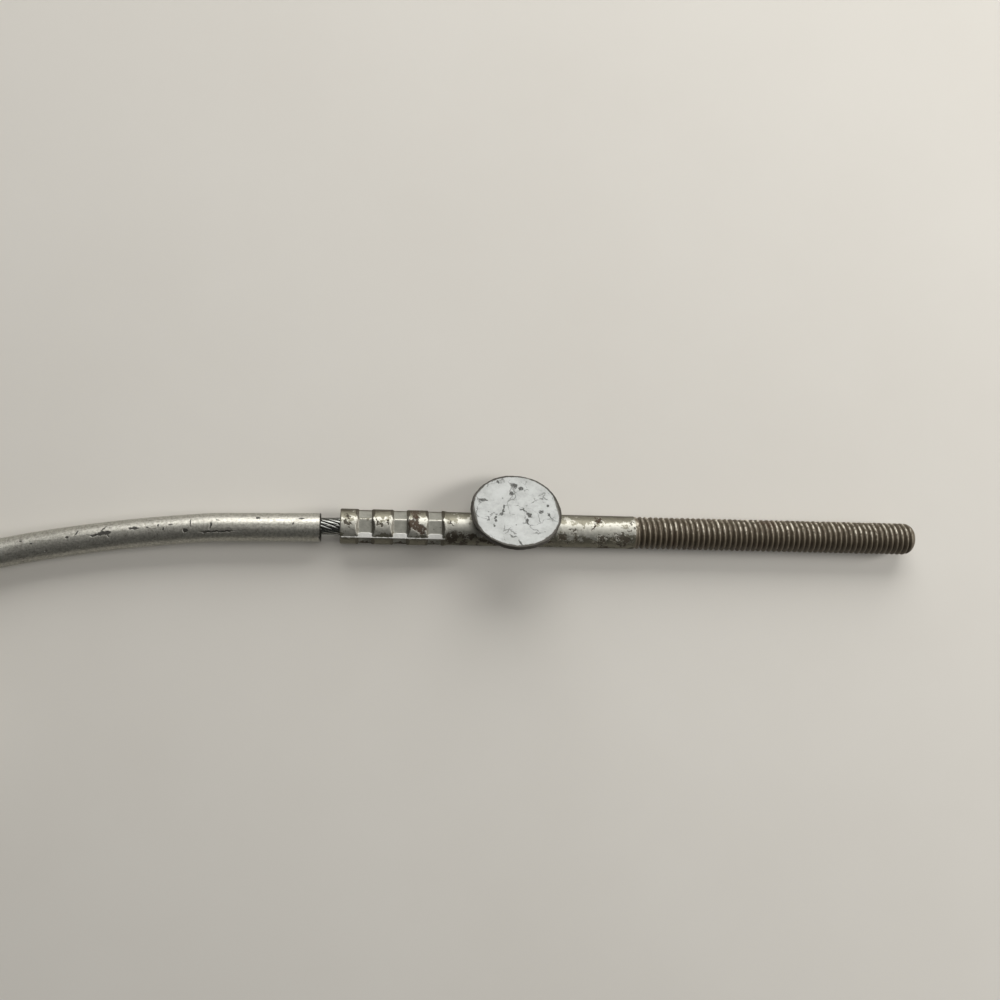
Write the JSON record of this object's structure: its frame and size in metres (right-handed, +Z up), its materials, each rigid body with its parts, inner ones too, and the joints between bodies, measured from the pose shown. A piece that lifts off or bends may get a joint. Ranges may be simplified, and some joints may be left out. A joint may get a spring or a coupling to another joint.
{
  "type": "rear brake cable",
  "caption": "Rear brake cable: silver casing over a sliding inner wire that ends in a crimped, threaded adjuster rod with a round stop disc; far end coiled, with a barrel nipple.",
  "frame": {"origin": "on the floor, under the middle of the threaded rod end and its stop disc", "axes": "+X along the rod to its threaded tip, +Y to the side the disc leans to, +Z up"},
  "size_m": [0.2533, 0.0798, 0.0126],
  "materials": {
    "rod_steel": "bright turned steel with dark stain and rust, dull brown-grey on the thread",
    "disc_steel": "pale zinc finish, scratched and pitted, dark rim",
    "wire_steel": "stranded steel, dark between the strands",
    "silver_jacket": "silver paint, satin, chipped to dark in places",
    "conduit_steel": "dull coiled steel",
    "zinc_plate": "satin zinc plate",
    "tie_plastic": "black, matt"
  },
  "bodies": {
    "casing": {"jacket_run": "silver_jacket", "conduit_run": "conduit_steel", "casing_coil": "silver_jacket", "coil_tie_left": "tie_plastic", "coil_tie_right": "tie_plastic", "jacket_tail": "silver_jacket", "conduit_tail": "conduit_steel", "tail_ferrule": "zinc_plate"},
    "inner_rod": {"rod_end": "rod_steel", "stop_disc": "disc_steel", "inner_wire": "wire_steel"},
    "inner_nipple": {"far_wire": "wire_steel", "barrel_nipple": "zinc_plate"}
  },
  "joints": [
    {"name": "inner_slide", "type": "slide", "parent": "casing", "child": "inner_rod", "axis": [0.9998, 0.0209, 0], "range_m": [-0.003, 0.01]},
    {"name": "far_slide", "type": "slide", "parent": "casing", "child": "inner_nipple", "axis": [1, 0, 0], "range_m": [-0.003, 0.01]}
  ],
  "couplings": [
    {"joint": "far_slide", "follows": "inner_slide", "ratio": 1}
  ]
}
